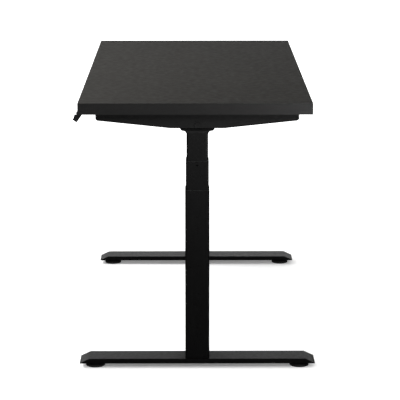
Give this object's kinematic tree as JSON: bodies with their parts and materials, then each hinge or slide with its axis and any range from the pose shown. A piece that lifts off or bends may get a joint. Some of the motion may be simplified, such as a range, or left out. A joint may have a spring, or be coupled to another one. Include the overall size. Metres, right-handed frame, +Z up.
{
  "type": "height adjustable standing desk",
  "caption": "Electric sit-stand desk: thick dark rectangular top on two square telescoping columns with flat T feet, levelling glides and a handset under the front edge.",
  "frame": {"origin": "on the floor, under the middle of the whole desk's box at its rest height", "axes": "+X to the user's right along the desktop, +Y away from the user, +Z up"},
  "size_m": [1.4, 0.739, 0.837],
  "materials": {
    "laminate": "matt dark laminate on particle board",
    "frame_paint": "black fine-texture powder coat",
    "tube_paint": "black satin powder coat",
    "black_plastic": "moulded, fine grain",
    "gloss_black": "gloss",
    "button_grey": "satin",
    "rubber": "matt",
    "zinc": "bright zinc plate",
    "bronze": "machined",
    "casting": "black coated die casting",
    "circuit_board": "solder resist"
  },
  "bodies": {
    "base": {"right_foot": "frame_paint", "right_outer_tube": "tube_paint", "right_outer_guide": "black_plastic", "right_base_screw": "zinc", "left_foot": "frame_paint", "left_outer_tube": "tube_paint", "left_outer_guide": "black_plastic", "left_base_screw": "zinc"},
    "right_front_glide": {"right_front_glide_pad": "rubber", "right_front_glide_stud": "zinc"},
    "right_rear_glide": {"right_rear_glide_pad": "rubber", "right_rear_glide_stud": "zinc"},
    "left_front_glide": {"left_front_glide_pad": "rubber", "left_front_glide_stud": "zinc"},
    "left_rear_glide": {"left_rear_glide_pad": "rubber", "left_rear_glide_stud": "zinc"},
    "right_middle_stage": {"right_middle_tube": "tube_paint", "right_middle_guide": "black_plastic"},
    "right_spindle": {"right_hollow_screw": "zinc", "right_lower_nut": "bronze"},
    "right_drive": {"right_drive_shaft": "zinc"},
    "left_middle_stage": {"left_middle_tube": "tube_paint", "left_middle_guide": "black_plastic"},
    "left_spindle": {"left_hollow_screw": "zinc", "left_lower_nut": "bronze"},
    "left_drive": {"left_drive_shaft": "zinc"},
    "top_frame": {"desktop": "laminate", "front_rail": "frame_paint", "rear_rail": "frame_paint", "right_upper_tube": "tube_paint", "right_upper_nut": "black_plastic", "right_collar": "casting", "right_side_arm": "frame_paint", "right_gearbox": "casting", "right_motor": "black_plastic", "right_motor_lead": "rubber", "left_upper_tube": "tube_paint", "left_upper_nut": "black_plastic", "left_collar": "casting", "left_side_arm": "frame_paint", "left_gearbox": "casting", "left_motor": "black_plastic", "left_motor_lead": "rubber", "control_box_cover": "black_plastic", "control_box_plate": "black_plastic", "control_board": "circuit_board", "mains_inlet": "black_plastic", "handset_housing": "black_plastic", "handset_fascia": "gloss_black", "display_window": "gloss_black", "handset_board": "circuit_board", "handset_lead": "rubber"},
    "up_button": {"button_up": "button_grey"},
    "down_button": {"button_down": "button_grey"},
    "memory_1_button": {"button_memory_1": "button_grey"},
    "memory_2_button": {"button_memory_2": "button_grey"},
    "memory_3_button": {"button_memory_3": "button_grey"},
    "save_button": {"button_save": "button_grey"}
  },
  "joints": [
    {"name": "lift_right_lower", "type": "slide", "parent": "base", "child": "right_middle_stage", "axis": [0, 0, 1], "range_m": [-0.082, 0.243]},
    {"name": "lift_left_lower", "type": "slide", "parent": "base", "child": "left_middle_stage", "axis": [0, 0, 1], "range_m": [-0.0825, 0.2435]},
    {"name": "lift_upper", "type": "slide", "parent": "right_middle_stage", "child": "top_frame", "axis": [0, 0, 1], "range_m": [-0.0825, 0.2435]},
    {"name": "right_spindle_turn", "type": "hinge", "parent": "right_middle_stage", "child": "right_spindle", "pos_m": [0.6205, 0.006, 0.3], "axis": [0, 0, 1], "range_deg": [-2957, 8753]},
    {"name": "right_drive_turn", "type": "hinge", "parent": "top_frame", "child": "right_drive", "pos_m": [0.6205, 0.006, 0.5], "axis": [0, 0, 1], "range_deg": [-2957, 8753]},
    {"name": "left_spindle_turn", "type": "hinge", "parent": "left_middle_stage", "child": "left_spindle", "pos_m": [-0.6205, 0.006, 0.3], "axis": [0, 0, 1], "range_deg": [-2957, 8753]},
    {"name": "left_drive_turn", "type": "hinge", "parent": "top_frame", "child": "left_drive", "pos_m": [-0.6205, 0.006, 0.5], "axis": [0, 0, 1], "range_deg": [-2957, 8753]},
    {"name": "right_front_glide_level", "type": "slide", "parent": "base", "child": "right_front_glide", "axis": [0, 0, 1], "range_m": [-0.01, 0]},
    {"name": "right_rear_glide_level", "type": "slide", "parent": "base", "child": "right_rear_glide", "axis": [0, 0, 1], "range_m": [-0.01, 0]},
    {"name": "left_front_glide_level", "type": "slide", "parent": "base", "child": "left_front_glide", "axis": [0, 0, 1], "range_m": [-0.01, 0]},
    {"name": "left_rear_glide_level", "type": "slide", "parent": "base", "child": "left_rear_glide", "axis": [0, 0, 1], "range_m": [-0.01, 0]},
    {"name": "press_up", "type": "slide", "parent": "top_frame", "child": "up_button", "axis": [0, 0.8192, -0.5736], "range_m": [0, 0.0008], "stiffness_N_per_m": 900, "springref_m": -0.0008},
    {"name": "press_down", "type": "slide", "parent": "top_frame", "child": "down_button", "axis": [0, 0.8192, -0.5736], "range_m": [0, 0.0008], "stiffness_N_per_m": 900, "springref_m": -0.0008},
    {"name": "press_memory_1", "type": "slide", "parent": "top_frame", "child": "memory_1_button", "axis": [0, 0.8192, -0.5736], "range_m": [0, 0.0008], "stiffness_N_per_m": 900, "springref_m": -0.0008},
    {"name": "press_memory_2", "type": "slide", "parent": "top_frame", "child": "memory_2_button", "axis": [0, 0.8192, -0.5736], "range_m": [0, 0.0008], "stiffness_N_per_m": 900, "springref_m": -0.0008},
    {"name": "press_memory_3", "type": "slide", "parent": "top_frame", "child": "memory_3_button", "axis": [0, 0.8192, -0.5736], "range_m": [0, 0.0008], "stiffness_N_per_m": 900, "springref_m": -0.0008},
    {"name": "press_save", "type": "slide", "parent": "top_frame", "child": "save_button", "axis": [0, 0.8192, -0.5736], "range_m": [0, 0.0008], "stiffness_N_per_m": 900, "springref_m": -0.0008}
  ],
  "couplings": [
    {"joint": "lift_left_lower", "follows": "lift_right_lower", "ratio": 1},
    {"joint": "lift_upper", "follows": "lift_right_lower", "ratio": 1},
    {"joint": "right_spindle_turn", "follows": "lift_right_lower", "rad_per_m": 628.32},
    {"joint": "right_drive_turn", "follows": "lift_right_lower", "rad_per_m": 628.32},
    {"joint": "left_spindle_turn", "follows": "lift_right_lower", "rad_per_m": 628.32},
    {"joint": "left_drive_turn", "follows": "lift_right_lower", "rad_per_m": 628.32}
  ]
}
